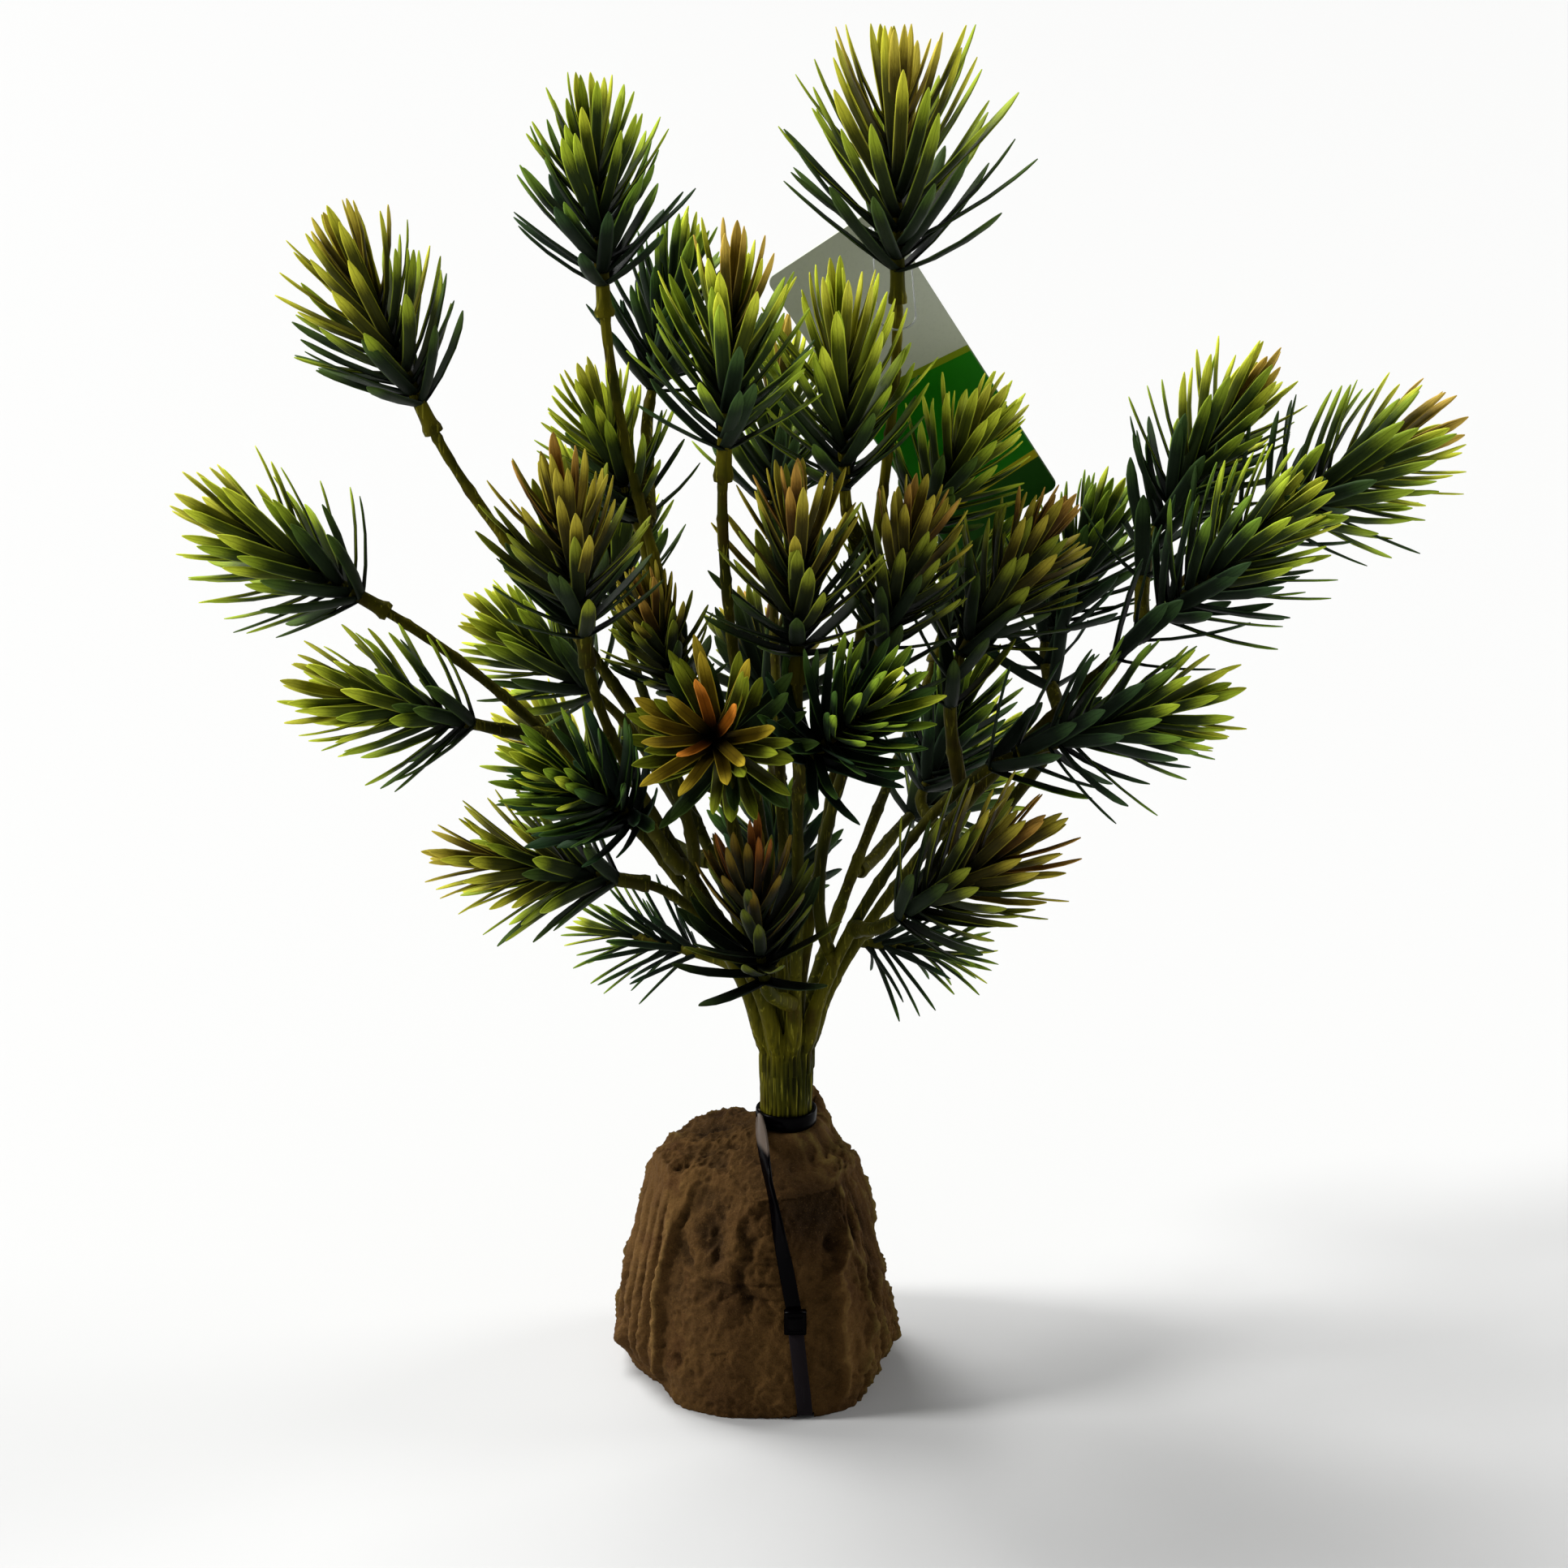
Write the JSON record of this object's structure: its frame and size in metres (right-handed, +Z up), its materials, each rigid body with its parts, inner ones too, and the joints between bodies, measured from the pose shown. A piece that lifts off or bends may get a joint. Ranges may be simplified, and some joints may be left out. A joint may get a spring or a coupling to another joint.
{
  "type": "artificial podocarpus on a moulded rock base",
  "caption": "Artificial evergreen shrub with leafy sprays on bendable stems that fork from one short trunk, set in a moulded rock base that stands flat.",
  "frame": {"origin": "middle of the flat underside of the rock base, on the surface it stands on", "axes": "+Z up, -Y towards the viewer, +X to the right as seen from the front"},
  "size_m": [0.2784, 0.1554, 0.3005],
  "materials": {
    "rock": "sandy moulded rock, warm brown, matte",
    "bark": "moulded olive green stems with fine bark grooves, low sheen",
    "leaf": "thin leaves, blue-green at the root to lime and bronze tips, soft sheen",
    "tie": "black nylon tie strap, glossy",
    "card": "printed card, pale grey and green, satin",
    "thread": "clear plastic thread"
  },
  "bodies": {
    "root": {"bough_back_high": "bark", "bough_back_left": "bark", "bough_back_right": "bark", "bough_centre_front": "bark", "bough_centre_left": "bark", "bough_centre_top": "bark", "bough_front_high": "bark", "bough_front_left": "bark", "bough_left_front": "bark", "bough_left_high": "bark", "bough_left_low": "bark", "bough_right_far": "bark", "bough_right_low": "bark", "bough_right_mid": "bark", "bough_right_wide": "bark", "rock_base": "rock", "spray_back_facing": "leaf", "spray_back_foot": "leaf", "spray_back_high": "leaf", "spray_back_left": "leaf", "spray_back_left_low": "leaf", "spray_back_right": "leaf", "spray_back_right_low": "leaf", "spray_centre_front": "leaf", "spray_centre_left": "leaf", "spray_centre_rear": "leaf", "spray_centre_top": "leaf", "spray_centre_upper": "leaf", "spray_facing": "leaf", "spray_facing_right": "leaf", "spray_foot_front": "leaf", "spray_front_high": "leaf", "spray_front_left": "leaf", "spray_left_back": "leaf", "spray_left_drooping": "leaf", "spray_left_facing": "leaf", "spray_left_front": "leaf", "spray_left_high": "leaf", "spray_left_inner": "leaf", "spray_left_low": "leaf", "spray_left_mid": "leaf", "spray_left_tan": "leaf", "spray_right_bronze": "leaf", "spray_right_drooping": "leaf", "spray_right_far": "leaf", "spray_right_front": "leaf", "spray_right_inner": "leaf", "spray_right_low": "leaf", "spray_right_mid": "leaf", "spray_right_rear": "leaf", "spray_right_under": "leaf", "spray_right_upper": "leaf", "spray_right_wide": "leaf", "tag_card": "card", "tag_loop": "thread", "tie_band": "tie", "tie_head": "tie", "tie_lower_strap": "tie", "tie_upper_strap": "tie", "trunk": "bark"}
  },
  "joints": []
}
